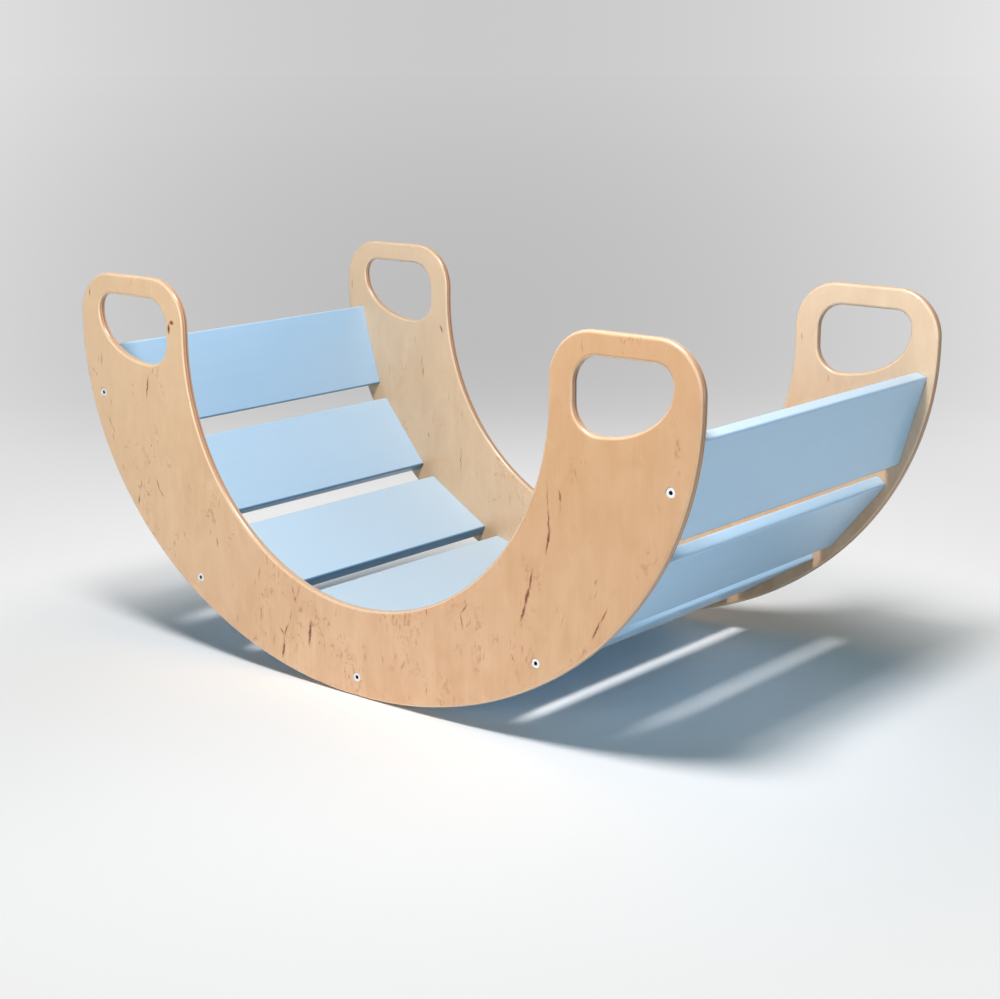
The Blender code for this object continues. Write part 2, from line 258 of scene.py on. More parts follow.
# Dark marks
MARK_LONGER = 1.5            # the ovals' faint ends reach past the marks' own ends
MARK_WIDER = 1.35
WAVER_SCALE = 170.0          # their sides waver by this noise
WAVER_WIDTH = 0.0038
HALO_FULL = 0.45             # cover at which the brown halo is full
HALO_SHARE = 0.75
CORE_RANGE = (0.27, 0.64)    # cover between which the dark core comes in
UNEVEN_SCALE = 230.0         # the core's darkness along the mark
UNEVEN_RANGE = (0.30, 0.55)
UNEVEN_LEAST = 0.65

# Plies as the edges show them
VENEER = 0.0009              # thickness of the face veneer after sanding
SECOND_PLY = 0.0024          # depths of the next glue lines below each face
THIRD_PLY = 0.0039
GLUE_HALF = 0.00010
GLUE_SHARE = 0.45
PLY_WAVE_SCALE = 30.0        # the plies run a little uneven
PLY_WAVE = 0.00025
PLY_STRETCH = 0.02
END_POWER = 1.5              # how fast a wall turns from long grain to end grain
CROSSED_END_AND_SHADE = (0.55, 0.95)   # end grain on walls to the left and right: upright and crossed plies, dark enough to be painted shade on these walls as well
UPRIGHT_END_LIGHTENED = 0.30           # end grain of the upright plies on walls above and below, kept weak as painted light on the top rims
SPECKLE_SCALE = 1300.0
SPECKLE_RANGE = (0.35, 0.75)
SPECKLE_SHARE = 0.35

# Satin lacquer on the plywood
WOOD_ROUGHNESS = (0.36, 0.48)
WOOD_SPECULAR = 0.5
WOOD_COAT = 0.9
WOOD_COAT_ROUGHNESS = 0.22
WOOD_RELIEF = 0.15
WOOD_RELIEF_DEPTH = 0.0002
BAND_RELIEF = 0.5            # share of the bands in the relief

# Paint
BLUE = srgb(184, 219, 249)
BLUE_DEEP = srgb(178, 215, 247)
# painted sheen: the paler blue of the sides that look up
BLUE_PAINTED_SHEEN = srgb(210, 234, 252)
# painted shade: the deep blue of the long edge that looks down
BLUE_SHADED_EDGE = srgb(78, 138, 176)
PAINT_GRAIN_SCALE = 700.0
PAINT_STREAK_SCALE = 90.0
PAINT_CLOUD_SCALE = 9.0
PAINT_STRETCH = 0.03
PAINT_TONE_SHARE = 0.5       # how much of the deeper blue the streaks bring, and the clouds
SHEEN_FROM = 0.45             # upward normal where the painted sheen, a paler blue, starts, and where it is full
SHEEN_FULL = 0.97
SHEEN_SHARE = 0.90
EDGE_SHADE_WITHIN = 0.6       # share of the rounding over which the painted shade on the lower edge, a deep blue, comes in
PAINT_ROUGHNESS = (0.38, 0.50)
PAINT_COAT = 0.8
PAINT_COAT_ROUGHNESS = 0.25
PEEL_SCALE = 450.0
PEEL_SHARE = 0.35
PAINT_RELIEF = 0.05
PAINT_RELIEF_DEPTH = 0.00015

# Screws' steel
ZINC = srgb(250, 252, 255)
ZINC_DULL = srgb(232, 238, 246)
ZINC_PATCH_SCALE = 500.0
ZINC_DULL_SHARE = 0.8
# painted shade inside the hex socket
SOCKET_PAINTED_SHADE = srgb(14, 36, 56)
SOCKET_SHADE_FROM = 0.62           # radius, in socket widths, where the painted shade in the socket starts, and where it is full
SOCKET_SHADE_FULL = 0.56
TURNING_SCALE = 9000.0
STEEL_ROUGHNESS = (0.40, 0.55)
STEEL_RELIEF = 0.1
STEEL_RELIEF_DEPTH = 0.00005

# Studio: light levels are shares of the light that renders a colour as it is written
FLOOR_RADIUS = 30.0
FLOOR_SIDES = 96
FLOOR_SINK = 0.0002
FLOOR_WHITE = grey(0.90)
FLOOR_ROUGHNESS = 0.9
LIT_CENTRE = Vector((0.13, -0.15, 0.0))
LIT_REACH = 0.42             # round this centre the floor shows its own light and shadow
BACKDROP_REACH = 0.80        # from here outwards it shows the backdrop's colour
# painted pool of light: the backdrop's level falls away from the seesaw
BACKDROP_STOPS = [           # distance from the centre and level there, along the middle line
    (0.42, 0.925), (0.60, 0.905), (0.75, 0.87), (0.90, 0.83), (1.06, 0.77), (1.30, 0.675),
    (1.60, 0.575), (1.90, 0.53), (2.30, 0.512), (3.20, 0.512), (4.70, 0.522), (7.20, 0.54),
    (12.0, 0.565), (24.0, 0.585),
]
SKY_LEVEL = 0.592
PAN_CENTRE = Vector((1.34, -1.60, 0.0))      # the backdrop is lighter to both sides, seen from here
PAN_AXIS = Vector((-0.654, 0.757, 0.0))
SIDE_LIFT = 5.2              # level gained for each 1 that the direction's cosine falls by
SIDE_LIFT_MOST = 0.26
LIFT_DISTANCES = (2.5, 3.5)  # metres from PAN_CENTRE between which the floor takes the lift on
LIFT_COSINES = (-0.2, 0.8)   # behind the camera there is no lift: it comes in between these
WORLD_TINT = (0.45, 0.90, 1.0, 1.0)
WORLD_LEVEL = 0.08
AIM = Vector((0.0, 0.0, 0.15))
LAMPS = [                    # name, place, width in metres, level at the seesaw, tint
    ("key", Vector((0.34, -0.60, 1.53)), 0.40, 0.95, (1.0, 0.985, 0.985)),
    ("front_fill", Vector((-0.10, -2.40, 0.50)), 0.80, 0.20, (1.0, 0.99, 0.98)),
    ("back_fill", Vector((-0.30, 2.60, 0.50)), 0.90, 0.28, (1.0, 0.99, 0.98)),
    ("right_fill", Vector((2.30, -0.10, 0.36)), 0.60, 0.11, (0.74, 0.95, 1.0)),
]

# Camera, matched to the photograph
CAMERA_PLACE = Vector((1.3402, -1.6028, 0.6764))
CAMERA_AZIMUTH = radians(39.677)
CAMERA_ELEVATION = radians(13.608)
CAMERA_ROLL = radians(-0.094)
CAMERA_LENS = 69.47


# Outlines are lists of (x, z) points, counter-clockwise round the wood

def arc(centre, radii, start, end, steps):
    """Points on an ellipse's arc; angles in degrees from +X towards +Z."""
    turn = [radians(start + (end - start) * i / steps) for i in range(steps + 1)]
    return [(centre[0] + radii[0] * cos(a), centre[1] + radii[1] * sin(a)) for a in turn]


def mirrored(points):
    return [(-x, z) for x, z in reversed(points)]


def panel_outline():
    """Outer edge of a side panel, from the middle of the rocker round both handles."""
    corner = (HANDLE_CORNER, HANDLE_CORNER)
    corner_z = HEIGHT - HANDLE_CORNER
    lowest = -90 + degrees(FLAT_ANGLE)
    rocker = arc((0, ROCKER_CENTRE_Z), (HALF_LENGTH, ROCKER_RISE), lowest, 0, ROCKER_STEPS)
    outer = arc((HALF_LENGTH - HANDLE_CORNER, corner_z), corner, 0, 90, CORNER_STEPS)
    inner = arc((SEAT_RADIUS + HANDLE_CORNER, corner_z), corner, 90, 180, CORNER_STEPS)
    seat = arc((0, SEAT_CENTRE_Z), (SEAT_RADIUS, SEAT_RADIUS), 0, -90, SEAT_STEPS)
    half = rocker + outer + inner + seat
    return half + mirrored(half)[1:]


def hole_outline():
    """The hand hole of the right end, clockwise, so that the wood is on its left."""
    inner_x = SEAT_RADIUS + INNER_BAR
    outer_x = HALF_LENGTH - OUTER_BAR
    low_x = inner_x + HOLE_INNER_CORNER
    inner = (HOLE_INNER_CORNER, HOLE_INNER_CORNER)
    outer = (HOLE_OUTER_CORNER, HOLE_OUTER_CORNER)
    sweep = (outer_x - low_x, HOLE_SWEEP)
    points = arc((low_x, HOLE_LOW_Z + HOLE_SWEEP), sweep, -90, 0, SWEEP_STEPS)
    points += arc((outer_x - outer[0], HOLE_TOP_Z - outer[1]), outer, 0, 90, CORNER_STEPS)
    points += arc((low_x, HOLE_TOP_Z - inner[1]), inner, 90, 180, CORNER_STEPS)
    points += arc((low_x, HOLE_LOW_Z + inner[1]), inner, 180, 270, CORNER_STEPS)[:-1]
    return points[::-1]


def slat_section(slat_width, thickness, grow=0.0):
    """A slat's cross-section about its middle, with a narrow flat band beside each rounding."""
    x = slat_width / 2 - SLAT_EDGE
    z = thickness / 2 - SLAT_EDGE
    edge = (SLAT_EDGE + grow, SLAT_EDGE + grow)
    points = []
    for start, corner in ((0, (x, z)), (90, (-x, z)), (180, (-x, -z)), (270, (x, -z))):
        turn = arc(corner, edge, start, start + 90, SLAT_EDGE_STEPS)
        before = Vector((-cos(radians(start + 90)), -sin(radians(start + 90)))) * FLAT_BAND
        after = Vector((-cos(radians(start)), -sin(radians(start)))) * FLAT_BAND
        points += [tuple(Vector(turn[0]) + before), *turn, tuple(Vector(turn[-1]) + after)]
    return points


def set_in(points, distance):
    """The outline moved into the wood by a distance."""
    moved = []
    for i, here in enumerate(points):
        back = Vector(here) - Vector(points[i - 1])
        ahead = Vector(points[(i + 1) % len(points)]) - Vector(here)
        first = Vector((-back.y, back.x)).normalized()
        second = Vector((-ahead.y, ahead.x)).normalized()
        middle = (first + second).normalized()
        moved.append(tuple(Vector(here) + middle * distance / middle.dot(first)))
    return moved


def distinct(points):
    """Leave out points that repeat the one before them."""
    pairs = zip(points, points[-1:] + points[:-1])
    return [a for a, b in pairs if hypot(a[0] - b[0], a[1] - b[1]) > SAME_PLACE]


def circle(radius, sides=TURNED_SIDES, centre=(0, 0)):
    turn = [2 * pi * i / sides for i in range(sides)]
    return [(centre[0] + radius * cos(a), centre[1] + radius * sin(a)) for a in turn]


# Mesh building

def ring(bm, points, y):
    return [bm.verts.new((x, y, z)) for x, z in points]


def join_rings(bm, lower, upper):
    count = len(lower)
    for i in range(count):
        j = (i + 1) % count
        bm.faces.new((lower[i], lower[j], upper[j], upper[i]))


def loft(bm, rings):
    """Walls through a run of rings; returns the first and the last."""
    for lower, upper in zip(rings, rings[1:]):
        join_rings(bm, lower, upper)
    return rings[0], rings[-1]


def fill_between(bm, rings):
    """Flat face inside the first ring and outside the others."""
    edges = []
    for verts in rings:
        pairs = zip(verts, verts[1:] + verts[:1])
        edges += [bm.edges.get(pair) or bm.edges.new(pair) for pair in pairs]
    bmesh.ops.triangle_fill(bm, use_beauty=True, use_dissolve=False, edges=edges)


def finish_mesh(bm, name, matrix=None):
    bmesh.ops.recalc_face_normals(bm, faces=bm.faces)
    mesh = bpy.data.meshes.new(name)
    bm.to_mesh(mesh)
    bm.free()
    mesh.shade_smooth()
    mesh.set_sharp_from_angle(angle=SHARP_ANGLE)
    if matrix is not None:
        mesh.transform(matrix)
    return mesh


def add_piece(name, mesh, finish, stands_for, matrix=None):
    """Put a piece in the scene in place of its CAD node."""
    piece = bpy.data.objects.new(name, mesh)
    if not mesh.materials:       # all the screws share one mesh
        mesh.materials.append(finish)
    bpy.context.scene.collection.objects.link(piece)
    if matrix is not None:
        piece.matrix_world = matrix
    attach(piece, "root")
    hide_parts(stands_for)
    return piece


# Where the frame has the slats and the screws

def slat_place(name):
    """(matrix, width, thickness) of a slat, read off its CAD solid."""
    low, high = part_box(name)
    middle = (low + high) / 2
    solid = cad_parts[name].data
    up = max(solid.polygons, key=lambda face: face.area).normal.copy()
    if up.z < 0:
        up.negate()
    across = Vector((up.z, 0, -up.x))
    reach = [max(abs((v.co - middle).dot(axis)) for v in solid.vertices) for axis in (across, up)]
    matrix = Matrix.Translation(middle) @ Matrix.Rotation(atan2(up.x, up.z), 4, "Y")
    return matrix, 2 * reach[0], 2 * reach[1]


def screw_spots(word):
    """(x, z) of the screws of one panel."""
    spots = []
    for i in range(SCREWS_A_SIDE):
        low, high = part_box(f"screw_{word}_{i + 1}")
        spots.append(((low.x + high.x) / 2, (low.z + high.z) / 2))
    return spots


def turn_to_side(side):
    """The turn that takes what is made for the front to a panel's own side."""
    return Matrix.Rotation(0 if side < 0 else pi, 4, "Z")


# Pieces

def head_profile(grow=0.0):
    """(radius, depth) of the countersunk head, from its cone's rim to the shank."""
    cone = HEAD_RADIUS - SCREW_RADIUS
    start = HEAD_CHAMFER + HEAD_RIM
    slant = grow * (sqrt(2) - 1)
    return [(HEAD_RADIUS + grow, start + slant), (SCREW_RADIUS + grow, start + cone + slant)]


def rounded_walls(bm, outline, near_ends, far_ends):
    """The edge of a plate along one outline, rounded over at y = 0 and at its thickness."""
    steps = [i * pi / 2 / EDGE_STEPS for i in range(EDGE_STEPS + 1)]
    near = [(EDGE_ROUND * (1 - sin(a)), EDGE_ROUND * (1 - cos(a))) for a in steps]
    near.insert(0, (EDGE_ROUND + FLAT_BAND, 0))
    profile = near + [(inset, PANEL_THICKNESS - y) for inset, y in reversed(near)]
    rings = [ring(bm, set_in(outline, inset), y) for inset, y in profile]
    first, last = loft(bm, rings)
    near_ends.append(first)
    far_ends.append(last)


def pocket_walls(bm, section, matrix, floor_y, screw_spot):
    """A slat's pocket, from its floor to the inner face; returns its two end rings."""
    x_axis, z_axis = matrix.col[0].xyz, matrix.col[2].xyz
    middle = matrix.translation
    points = [middle + x_axis * x + z_axis * z for x, z in section]
    flat = [(p.x, p.z) for p in points]
    floor, mouth = loft(bm, [ring(bm, flat, floor_y), ring(bm, flat, PANEL_THICKNESS)])
    if screw_spot is None:
        bm.faces.new(floor)
    return floor, mouth


def screw_hole(bm, spot, floor_y):
    """A countersunk hole from y = 0 to the pocket's floor; returns its two end rings."""
    rim, neck = head_profile(CLEARANCE)
    profile = [(rim[0], 0), (rim[0], rim[1] + HEAD_SINK)]
    profile += [(neck[0], neck[1] + HEAD_SINK), (neck[0], floor_y)]
    return loft(bm, [ring(bm, circle(radius, centre=spot), y) for radius, y in profile])


def near_spot(spots, place):
    """The screw that sits in the middle of a slat, or None."""
    for spot in spots:
        if hypot(spot[0] - place.x, spot[1] - place.z) < SCREW_RADIUS:
            return spot
    return None


def panel_mesh(name, slat_places, spots, matrix):
    """A side panel with its outer face at y = 0, its pockets in the inner face."""
    bm = bmesh.new()
    floor_y = PANEL_THICKNESS - POCKET_DEPTH
    hole = hole_outline()
    outer_face, inner_face = [], []
    for outline in (panel_outline(), hole, mirrored(hole)):
        rounded_walls(bm, distinct(outline), outer_face, inner_face)
    for place, slat_width, thickness in slat_places:
        section = slat_section(slat_width, thickness, CLEARANCE)
        spot = near_spot(spots, place.translation)
        floor, mouth = pocket_walls(bm, section, place, floor_y, spot)
        inner_face.append(mouth)
        if spot is not None:
            outside, inside = screw_hole(bm, spot, floor_y)
            outer_face.append(outside)
            fill_between(bm, [floor, inside])
    fill_between(bm, outer_face)
    fill_between(bm, inner_face)
    return finish_mesh(bm, name, matrix)


def slat_mesh(name, place, slat_width, thickness, length):
    """A rounded board along Y; its value "lower" is 1 on the long edge that looks down, where the
    paint carries painted shade.
    """
    bm = bmesh.new()
    lower = bm.verts.layers.float.new("lower")
    section = slat_section(slat_width, thickness)
    for end in loft(bm, [ring(bm, section, -length / 2), ring(bm, section, length / 2)]):
        bm.faces.new(end)
    down = copysign(1, -place.col[0].z) if abs(place.col[0].z) > LEVEL else 0
    for vert in bm.verts:
        beyond = down * vert.co.x - (slat_width / 2 - SLAT_EDGE)
        vert[lower] = min(1, max(0, beyond / (EDGE_SHADE_WITHIN * SLAT_EDGE)))
    return finish_mesh(bm, name, place)


def screw_mesh():
    """A countersunk screw along +Y, its head at y = 0, with a hexagon socket."""
    bm = bmesh.new()
    profile = [(HEAD_RADIUS - HEAD_CHAMFER, 0), (HEAD_RADIUS, HEAD_CHAMFER)]
    profile += head_profile()
    profile += [(SCREW_RADIUS, SCREW_LENGTH - SCREW_POINT), (POINT_DIAMETER / 2, SCREW_LENGTH)]
    top, point = loft(bm, [ring(bm, circle(radius), y) for radius, y in profile])
    bm.faces.new(point)
    corner = SOCKET_ACROSS_FLATS / sqrt(3)
    levels = [(corner + SOCKET_CHAMFER, 0), (corner, SOCKET_CHAMFER), (corner, SOCKET_DEPTH)]
    mouth, bottom = loft(bm, [ring(bm, circle(radius, SOCKET_SIDES), y) for radius, y in levels])
    bm.faces.new(bottom)
    fill_between(bm, [top, mouth])
    return finish_mesh(bm, "screw")


# Materials

class Graph:
    """Short calls for building a tree of nodes."""

    def __init__(self, tree):
        self.tree = tree

    def node(self, kind, inputs=None, **settings):
        made = self.tree.nodes.new("ShaderNode" + kind)
        for key, value in settings.items():
            setattr(made, key, value)
        for socket, value in (inputs or {}).items():
            self.feed(made.inputs[socket], value)
        return made

    def feed(self, socket, value):
        if isinstance(value, bpy.types.NodeSocket):
            self.tree.links.new(value, socket)
        else:
            socket.default_value = value

    def math(self, operation, *values, clamp=False):
        inputs = dict(enumerate(values))
        return self.node("Math", inputs, operation=operation, use_clamp=clamp).outputs[0]

    def mix(self, share, first, second, blend="MIX"):
        """Two colours mixed: the node's colour sockets are numbers 6, 7 and, going out, 2."""
        inputs = {0: share, 6: first, 7: second}
        return self.node("Mix", inputs, data_type="RGBA", blend_type=blend).outputs[2]

    def vector(self, x, y, z):
        return self.node("CombineXYZ", {0: x, 1: y, 2: z}).outputs[0]

    def split(self, vector):
        return self.node("SeparateXYZ", {0: vector}).outputs[:]

    def noise(self, vector, scale, detail=2.0, roughness=0.5, distortion=0.0):
        inputs = {"Vector": vector, "Scale": scale, "Detail": detail}
        inputs.update({"Roughness": roughness, "Distortion": distortion})
        return self.node("TexNoise", inputs).outputs[0]

    def remap(self, value, low, high, to_low=0.0, to_high=1.0, smooth=False):
        kind = "SMOOTHSTEP" if smooth else "LINEAR"
        inputs = {0: value, 1: low, 2: high, 3: to_low, 4: to_high}
        return self.node("MapRange", inputs, interpolation_type=kind).outputs[0]

    def spread(self, noise, to_low, to_high):
        """A noise with most of its values spread between two others."""
        return self.remap(noise, *NOISE_RANGE, to_low, to_high)

    def ramp(self, value, stops):
        made = self.node("ValToRGB", {0: value})
        elements = made.color_ramp.elements
        while len(elements) < len(stops):
            elements.new(0.5)    # each gets its own position below
        for element, (position, colour) in zip(elements, stops):
            element.position = position
            element.color = colour
        return made.outputs[0]


def new_material(name):
    """A material, its nodes and its Principled shader."""
    made = bpy.data.materials.new(name)
    made.use_nodes = True
    return made, Graph(made.node_tree), made.node_tree.nodes["Principled BSDF"]


def add_coat(shader, weight, roughness):
    shader.inputs["Coat Weight"].default_value = weight
    shader.inputs["Coat Roughness"].default_value = roughness


def add_relief(g, shader, height, strength, depth):
    bump = g.node("Bump", {"Strength": strength, "Distance": depth, "Height": height})
    g.feed(shader.inputs["Normal"], bump.outputs[0])


def marks_cover(g, marks, x, z):
    """The strongest of all the marks at a point: each is a long thin oval that fades outwards."""
    here = g.vector(x, 0.0, z)
    cover = 0.0
    for top_x, top_z, low_x, low_z, half_width, darkness in marks:
        middle = Vector((top_x + low_x, 0, top_z + low_z)) * MM / 2
        reach = hypot(top_x - low_x, top_z - low_z) * MM * MARK_LONGER / 2
        tilt = atan2(top_x - low_x, top_z - low_z)
        inputs = {"Vector": here, "Location": middle, "Rotation": (0, tilt, 0)}
        inputs["Scale"] = (half_width * MM * MARK_WIDER, 1, reach)
        oval = g.node("Mapping", inputs, vector_type="TEXTURE").outputs[0]
        away = g.node("VectorMath", {0: oval}, operation="LENGTH").outputs["Value"]
        cover = g.math("MAXIMUM", cover, g.math("MULTIPLY_ADD", away, -darkness, darkness))
    return cover


def gradient(g, x, z, start, end, share):
    """0 at the start and a share at the end, both (x, z), and level across the line between."""
    along = Vector(end) - Vector(start)
    step = along / along.length_squared
    offset = -step.dot(Vector(start))
    there = g.math("MULTIPLY_ADD", x, step.x, g.math("MULTIPLY_ADD", z, step.y, offset))
    return g.remap(there, 0.0, 1.0, 0.0, share, smooth=True)


def drawn_out(g, place, stretch):
    """A place (across the grain, through the panel, up) that draws a noise out upwards."""
    across, through, up = place
    return g.vector(across, through, g.math("MULTIPLY", up, stretch))


def veneer_colour(g, place):
    """Plain veneer of fibres, bands, clouds and a slow drift of hue: colour, fibres and relief."""
    fibres_at = drawn_out(g, place, FIBRE_STRETCH)
    bands_at = drawn_out(g, place, BAND_STRETCH)
    clouds_at = drawn_out(g, place, CLOUD_STRETCH)
    fibres = g.noise(fibres_at, FIBRE_SCALE, detail=3.0, roughness=0.6)
    bands = g.noise(bands_at, BAND_SCALE, detail=3.0, distortion=0.4)
    clouds = g.noise(clouds_at, CLOUD_SCALE, detail=3.0, roughness=0.55, distortion=0.8)
    drift = g.noise(g.vector(*place), DRIFT_SCALE, detail=1.0)
    tone = g.math("ADD", g.spread(fibres, 0.0, FIBRE_SHARE), g.spread(bands, 0.0, BAND_SHARE))
    tone = g.math("ADD", tone, g.spread(clouds, 0.0, CLOUD_SHARE))
    face = g.mix(tone, FACE_LIGHT, FACE_DARK)
    face = g.mix(g.remap(drift, *DRIFT_RANGE, 0.0, PINK_SHARE), face, FACE_PINK)
    relief = g.math("ADD", fibres, g.math("MULTIPLY", bands, BAND_RELIEF))
    return face, fibres, relief


def curly_figure(g, face, place, figure):
    """The veneer with fine brown curls, fewer of them towards the handles."""
    patches = g.noise(drawn_out(g, place, PATCH_STRETCH), PATCH_SCALE)
    patches = g.math("SUBTRACT", patches, g.remap(place[2], *FEWER_RANGE, 0.0, FEWER_BY))
    curls_at = drawn_out(g, place, CURL_STRETCH)
    curls = g.noise(curls_at, CURL_SCALE, roughness=0.55, distortion=1.5)
    from_line = g.math("ABSOLUTE", g.math("SUBTRACT", curls, NOISE_MIDDLE))
    broken = g.remap(g.noise(g.vector(*place), BREAK_SCALE), *BREAK_RANGE)
    line = g.math("MULTIPLY", g.remap(from_line, CURL_HALF_WIDTH, 0.0, smooth=True), broken)
    shown = g.remap(patches, *PATCH_RANGE, 0.0, figure, smooth=True)
    return g.mix(g.math("MULTIPLY", line, shown), face, SQUIGGLE)


def dark_marks(g, face, place, marks):
    """The veneer with its marks, a soft brown edge round a dark, uneven core."""
    across, through, up = place
    waver = g.noise(g.vector(*place), WAVER_SCALE)
    sideways = g.math("SUBTRACT", waver, NOISE_MIDDLE)
    wavy_x = g.math("MULTIPLY_ADD", sideways, WAVER_WIDTH, across)
    cover = marks_cover(g, marks, wavy_x, up)
    face = g.mix(g.remap(cover, 0.0, HALO_FULL, 0.0, HALO_SHARE, smooth=True), face, MARK_HALO)
    uneven = g.noise(g.vector(0.0, through, up), UNEVEN_SCALE)
    core = g.remap(cover, *CORE_RANGE, smooth=True)
    core = g.math("MULTIPLY", core, g.remap(uneven, *UNEVEN_RANGE, UNEVEN_LEAST, 1.0))
    return g.mix(core, face, MARK_CORE)


def ply_edges(g, here, normal, depth):
    """Colour of the plies, and the share of the edge's own plies under the face veneer.

    The grain turns by a right angle from one ply to the next. Walls that face left and right are
    darker than walls above and below: partly end grain, partly painted shade on the side walls and
    painted light on the top rims.
    """
    x, y, z = here
    wave = g.noise(g.vector(x, 0.0, z), PLY_WAVE_SCALE)
    level = g.math("MULTIPLY_ADD", wave, PLY_WAVE, depth)
    second = g.remap(level, VENEER, VENEER + GLUE_HALF)
    third = g.remap(level, SECOND_PLY, SECOND_PLY + GLUE_HALF)
    fourth = g.remap(level, THIRD_PLY, THIRD_PLY + GLUE_HALF)
    crossed = g.math("ADD", g.math("SUBTRACT", second, third), fourth)
    # partly end grain, partly painted light: walls above and below stay lighter, and walls to the
    # sides go darker
    end_upright_lightened = g.math("POWER", g.math("ABSOLUTE", normal[2]), END_POWER)
    end_upright_lightened = g.math("MULTIPLY", end_upright_lightened, g.remap(crossed, 1.0, 0.0, 0.0, UPRIGHT_END_LIGHTENED))
    end_grain_and_shade = g.math("POWER", g.math("ABSOLUTE", normal[0]), END_POWER)
    end_grain_and_shade = g.math("MULTIPLY", end_grain_and_shade, g.remap(crossed, 0.0, 1.0, *CROSSED_END_AND_SHADE))
    ply = g.mix(g.math("ADD", end_grain_and_shade, end_upright_lightened, clamp=True), PLY_LONG, PLY_END)
    speckle = g.noise(g.vector(g.math("MULTIPLY", x, PLY_STRETCH), y, z), SPECKLE_SCALE)
    ply = g.mix(g.remap(speckle, *SPECKLE_RANGE, 0.0, SPECKLE_SHARE), ply, PLY_END)
    glue = 0.0
    for line in (VENEER, SECOND_PLY, THIRD_PLY):
        away = g.math("ABSOLUTE", g.math("SUBTRACT", level, line))
        glue = g.math("MAXIMUM", glue, g.remap(away, 2 * GLUE_HALF, GLUE_HALF))
    return g.mix(g.math("MULTIPLY", glue, GLUE_SHARE), ply, GLUE), second


def birch_plywood(name, middle_y, marks, turns, figure):
    """Birch plywood: upright grain on the faces, dark marks, and plies along the edges."""
    made, g, shader = new_material(name)
    coordinates = g.node("TexCoord").outputs
    here = g.split(coordinates["Object"])
    normal = g.split(coordinates["Normal"])
    x, y, z = here

    # the two faces of a panel are different veneers
    offset = g.math("SUBTRACT", y, middle_y)
    side = g.math("SIGN", offset)
    across = g.math("MULTIPLY", x, g.math("MULTIPLY", side, -1.0))
    depth = g.math("SUBTRACT", PANEL_THICKNESS / 2, g.math("ABSOLUTE", offset))
    place = (across, g.math("MULTIPLY_ADD", side, FACES_APART, y), z)

    face, fibres, relief = veneer_colour(g, place)
    # slow turns of colour; those of the back panel are painted light
    for colour, start, end, share in turns:
        face = g.mix(gradient(g, x, z, start, end, share), face, colour)

    # painted highlight: paler where the face turns into the rounded edge
    sideways = g.math("ABSOLUTE", normal[1])
    rim_highlight = g.remap(sideways, HIGHLIGHT_FROM, HIGHLIGHT_FULL, 0.0, HIGHLIGHT_SHARE, smooth=True)
    face = g.mix(rim_highlight, face, FACE_PAINTED_HIGHLIGHT)

    face = curly_figure(g, face, place, figure)
    face = dark_marks(g, face, place, marks)
    plies, inside = ply_edges(g, here, normal, depth)
    g.feed(shader.inputs["Base Color"], g.mix(inside, face, plies))
    g.feed(shader.inputs["Roughness"], g.spread(fibres, *WOOD_ROUGHNESS))
    shader.inputs["Specular IOR Level"].default_value = WOOD_SPECULAR
    add_coat(shader, WOOD_COAT, WOOD_COAT_ROUGHNESS)
    add_relief(g, shader, relief, WOOD_RELIEF, WOOD_RELIEF_DEPTH)
    return made


def blue_paint():
    """Satin paint on wood, its grain along each slat, with a painted sheen that makes the sides
    that look up paler.
    """
    made, g, shader = new_material("blue_paint")
    coordinates = g.node("TexCoord").outputs
    x, y, z = g.split(coordinates["Object"])
    along = g.vector(x, g.math("MULTIPLY", y, PAINT_STRETCH), z)
    grain = g.noise(along, PAINT_GRAIN_SCALE, detail=3.0, roughness=0.6)
    streaks = g.spread(g.noise(along, PAINT_STREAK_SCALE), 0.0, PAINT_TONE_SHARE)
    clouds = g.spread(g.noise(g.vector(x, y, z), PAINT_CLOUD_SCALE), 0.0, PAINT_TONE_SHARE)
    colour = g.mix(g.math("ADD", streaks, clouds), BLUE, BLUE_DEEP)
    facing_up = g.split(coordinates["Normal"])[2]
    # painted sheen: the sides that look up turn to a paler blue
    colour = g.mix(g.remap(facing_up, SHEEN_FROM, SHEEN_FULL, 0.0, SHEEN_SHARE), colour, BLUE_PAINTED_SHEEN)
    lower = g.node("Attribute", attribute_name="lower").outputs["Fac"]
    # painted shade: the edge that looks down takes the deep blue
    g.feed(shader.inputs["Base Color"], g.mix(lower, colour, BLUE_SHADED_EDGE))
    g.feed(shader.inputs["Roughness"], g.spread(grain, *PAINT_ROUGHNESS))
    add_coat(shader, PAINT_COAT, PAINT_COAT_ROUGHNESS)
    peel = g.noise(g.vector(x, y, z), PEEL_SCALE, detail=1.0)
    relief = g.math("MULTIPLY_ADD", peel, PEEL_SHARE, grain)
    add_relief(g, shader, relief, PAINT_RELIEF, PAINT_RELIEF_DEPTH)
    return made


